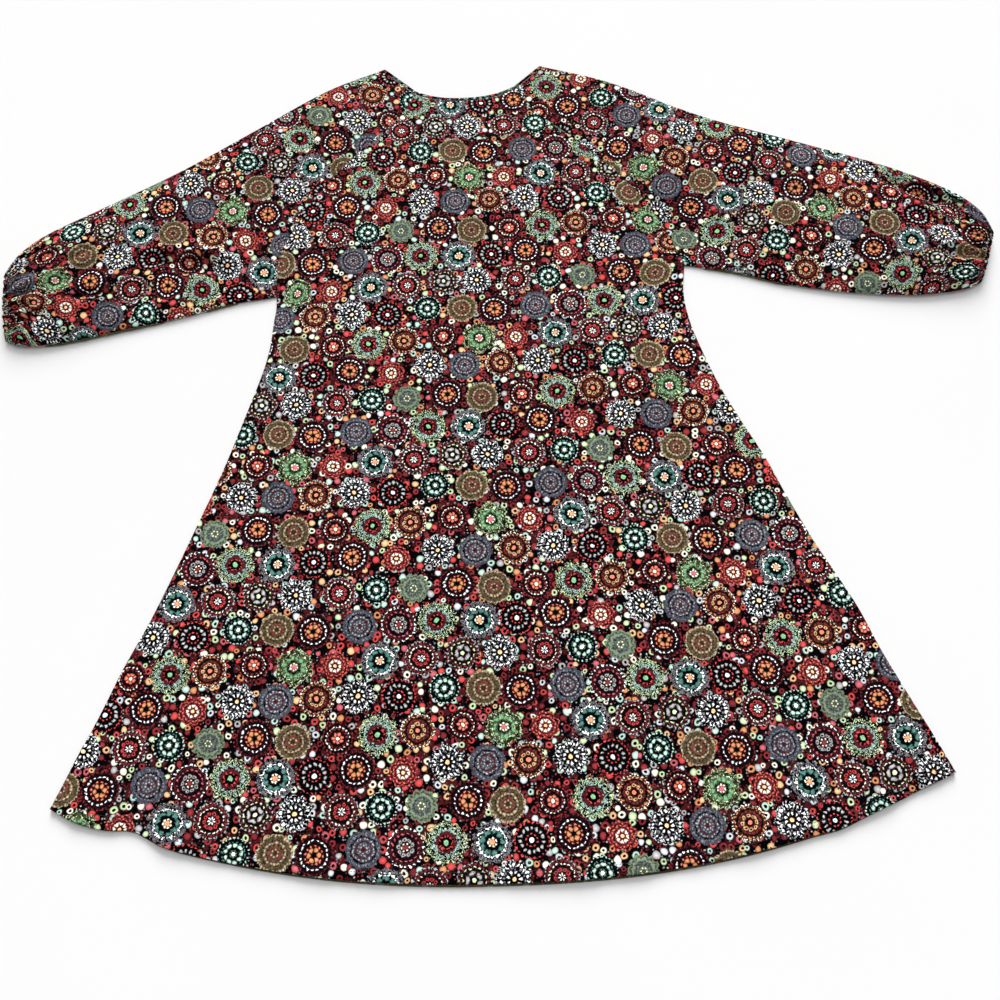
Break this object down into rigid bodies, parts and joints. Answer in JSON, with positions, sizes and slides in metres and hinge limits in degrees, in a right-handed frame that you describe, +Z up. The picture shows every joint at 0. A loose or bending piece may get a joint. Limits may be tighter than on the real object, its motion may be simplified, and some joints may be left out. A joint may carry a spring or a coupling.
{
  "type": "abaya dress",
  "caption": "Knee-length A-line abaya dress in densely printed cloth, laid flat back uppermost, with raglan sleeves gathered on elastic cuffs and a narrow bound neck",
  "frame": {"origin": "on the underside of the front panel, on the centre line, level with the underarms; Z = 0 is the surface that the dress lies on", "axes": "+X across the dress to the wearer's right, which is its longest extent; +Y from hem to neck; +Z up off the surface, out of the back panel"},
  "size_m": [1.223, 1.0208, 0.0194],
  "materials": {
    "printed_cloth": "soft knit printed all over with small bead rosettes on black, slight sheen",
    "casing": "the same printed cloth, turned and gathered on elastic",
    "binding": "narrow self binding, darker"
  },
  "bodies": {
    "root": {"back_panel": "printed_cloth", "front_panel": "printed_cloth", "sleeve_left": "printed_cloth", "sleeve_right": "printed_cloth", "cuff_left": "casing", "cuff_right": "casing", "neck_binding": "binding"}
  },
  "joints": []
}
